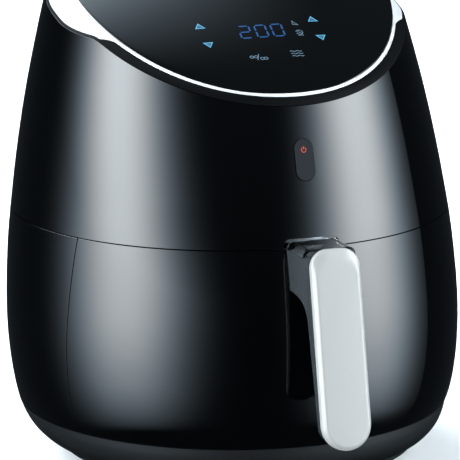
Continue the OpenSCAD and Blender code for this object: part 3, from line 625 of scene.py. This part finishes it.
strokes("power_mark", [(arc(0, 6.6, 1.6, 125, 415), False), ([(0, 6.8), (0, 8.9)], False)], .5,
        button_place, power_red, "display", "power_key")

# ---------------------------------------------------------------- handle's plate
PLATE_LEAN = math.radians(11.5)
PLATE_HALF, PLATE_LEN, CORNER_R, PLATE_T = 17.0, 128 / math.cos(PLATE_LEAN), 12.5, 6.8


def on_plate(x, v, h):
    return np.array([x, -156.6 + v * math.sin(PLATE_LEAN) - h * math.cos(PLATE_LEAN),
                     176 + v * math.cos(PLATE_LEAN) + h * math.sin(PLATE_LEAN)])


def plate_loop(inset, drop):
    """Outline of the plate, moved in by inset and down by drop at the top."""
    low, half, r = PLATE_HALF - PLATE_LEN, PLATE_HALF - inset, CORNER_R - inset
    pts = [(half - r + r * math.cos(t), -inset - drop - r + r * math.sin(t))
           for t in np.linspace(0, math.pi / 2, 14)]
    pts += [(-x, v) for x, v in reversed(pts)]
    pts += [(-half, v) for v in np.linspace(-inset - drop - r, low, 14)[1:-1]]
    pts += [(half * math.cos(t), low + half * math.sin(t)) for t in np.linspace(math.pi, 2 * math.pi, 30)]
    pts += [(half, v) for v in np.linspace(low, -inset - drop - r, 14)[1:-1]]
    return pts


profile = [(2.0, 0, -PLATE_T + .02), (.5, 0, -PLATE_T), (.12, 0, -PLATE_T + .2), (0, 0, -PLATE_T + .6),
           (0, 0, -3.3), (.12, .1, -2.75), (.4, .5, -2.25)]
profile += [(.4 + 2.4 * t, .5 + 6.0 * t, -2.25 + 2.15 * math.sin(t * math.pi / 2) ** 1.15)
            for t in np.linspace(.12, 1, 9)]
profile += [(3.1, 6.9, -.03), (3.6, 7.4, 0)]
loops = [[on_plate(x, v, h) for x, v in plate_loop(i, d)] for i, d, h in profile]
m = len(loops[0])
verts = np.array(loops).reshape(-1, 3)
faces = [(i * m + k, i * m + (k + 1) % m, (i + 1) * m + (k + 1) % m, (i + 1) * m + k)
         for i in range(len(loops) - 1) for k in range(m)]
last = (len(loops) - 1) * m
faces += [tuple(range(m)), tuple(range(last, last + m))]
piece("grip_plate", verts, faces, "drawer", "handle_silver", ("handle_plate",), 40)


# ---------------------------------------------------------------- studio
def stage_mesh(name, verts, faces, material):
    mesh = bpy.data.meshes.new(name)
    mesh.from_pydata(verts, [], faces)
    obj = bpy.data.objects.new(name, mesh)
    scene.collection.objects.link(obj)
    mesh.materials.append(material)
    obj.visible_glossy = False
    return obj


floor_paint = shader("floor_paint", (.86, .86, .86), .8, grain=60, bump=.02, speck=.01)
floor = stage_mesh("floor", [(-9, -9, 0), (9, -9, 0), (9, 9, 0), (-9, 9, 0)], [(0, 1, 2, 3)], floor_paint)
sky = bpy.data.materials.new("backdrop_white")
sky.use_nodes = True
sky.node_tree.nodes.clear()
lit = sky.node_tree.nodes.new("ShaderNodeEmission")
lit.inputs["Color"].default_value = (.96, .965, .97, 1)
out = sky.node_tree.nodes.new("ShaderNodeOutputMaterial")
sky.node_tree.links.new(lit.outputs[0], out.inputs[0])
turn = [(8.5 * math.cos(t), 8.5 * math.sin(t)) for t in np.linspace(0, 2 * math.pi, 48, False)]
ringed = [(x, y, -.01) for x, y in turn] + [(x, y, 9.0) for x, y in turn]
wall_faces = [(i, (i + 1) % 48, 48 + (i + 1) % 48, 48 + i) for i in range(48)] + [tuple(range(48, 96))]
backdrop = stage_mesh("backdrop", ringed, wall_faces, sky)
backdrop.visible_diffuse = backdrop.visible_transmission = backdrop.visible_shadow = False

world = bpy.data.worlds.new("studio")
scene.world = world
world.use_nodes = True
tree = world.node_tree
tree.nodes.clear()


def feed(socket, value):
    if isinstance(value, (int, float)):
        socket.default_value = value
    else:
        tree.links.new(value, socket)


def op(kind, a, b=0.0):
    node = tree.nodes.new("ShaderNodeMath")
    node.operation = kind
    feed(node.inputs[0], a)
    feed(node.inputs[1], b)
    return node.outputs[0]


direction = tree.nodes.new("ShaderNodeTexCoord").outputs["Generated"]
split = tree.nodes.new("ShaderNodeSeparateXYZ")
tree.links.new(direction, split.inputs[0])
dx, dy, dz = split.outputs
bearing = op("MULTIPLY", op("ARCTAN2", dx, op("MULTIPLY", dy, -1.0)), 180 / math.pi)
rise = op("MULTIPLY", op("ARCSINE", dz), 180 / math.pi)
lift = op("MAXIMUM", op("SUBTRACT", rise, 4.0), 0.0)


def ramp(value, low, high):
    node = tree.nodes.new("ShaderNodeMapRange")
    node.interpolation_type = "SMOOTHSTEP"
    feed(node.inputs["Value"], value)
    node.inputs["From Min"].default_value = low
    node.inputs["From Max"].default_value = high
    return node.outputs["Result"]


def softbox(centre, drift, width, power, peak):
    """A tall soft light at that bearing, brighter higher up."""
    middle = op("ADD", op("MULTIPLY", lift, drift), centre)
    away = op("DIVIDE", op("ABSOLUTE", op("SUBTRACT", bearing, middle)), width)
    shape = op("EXPONENT", op("MULTIPLY", op("POWER", away, power), -1.0))
    tall = op("MULTIPLY", ramp(rise, -44.0, 24.0), ramp(rise, 62.0, 40.0))
    return op("MULTIPLY", op("MULTIPLY", shape, tall), peak)


left_box = softbox(-77.0, -.7, 25.0, 2.2, 15.0)
right_box = op("MULTIPLY", softbox(53.5, .35, 23.0, 2.3, 13.2), ramp(bearing, 95.6, 94.6))
# a glow behind and above, seen in the rear left of the glass
across = op("MINIMUM", op("MAXIMUM", op("SUBTRACT", .425, dx), 0.0), .3)
along = op("MINIMUM", op("MAXIMUM", op("SUBTRACT", dy, .31), 0.0), .17)
glow = op("MULTIPLY", op("POWER", op("MULTIPLY", across, along), 2.0), 3500.0)
glow = op("MULTIPLY", glow, ramp(rise, 25.0, 45.0))
fill = op("ADD", op("MULTIPLY", ramp(rise, 0.0, 45.0), .062), .025)
total = op("ADD", op("ADD", left_box, right_box), op("ADD", glow, fill))
tint = tree.nodes.new("ShaderNodeMix")
tint.data_type = "RGBA"
tree.links.new(ramp(total, 0.0, 9.0), tint.inputs["Factor"])
tint.inputs[6].default_value = (.8, 1.0, 1.17, 1)
tint.inputs[7].default_value = (.93, 1.0, 1.05, 1)
shine = tree.nodes.new("ShaderNodeBackground")
tree.links.new(tint.outputs[2], shine.inputs["Color"])
tree.links.new(total, shine.inputs["Strength"])
sky_out = tree.nodes.new("ShaderNodeOutputWorld")
tree.links.new(shine.outputs[0], sky_out.inputs[0])

# ---------------------------------------------------------------- camera
camera = bpy.data.objects.new("camera", bpy.data.cameras.new("camera"))
scene.collection.objects.link(camera)
CAMERA_AT = (-.9526, -2.42885, .74725)
right, up, back = (.9326, -.3610, 0), (.0799, .2064, .9752), (-.3521, -.9094, .2214)
camera.matrix_world = Matrix([[right[i], up[i], back[i], CAMERA_AT[i]] for i in range(3)]
                             + [[0, 0, 0, 1]])
camera.data.lens = 308.41
camera.data.sensor_width = 36
camera.data.clip_end = 60
scene.camera = camera
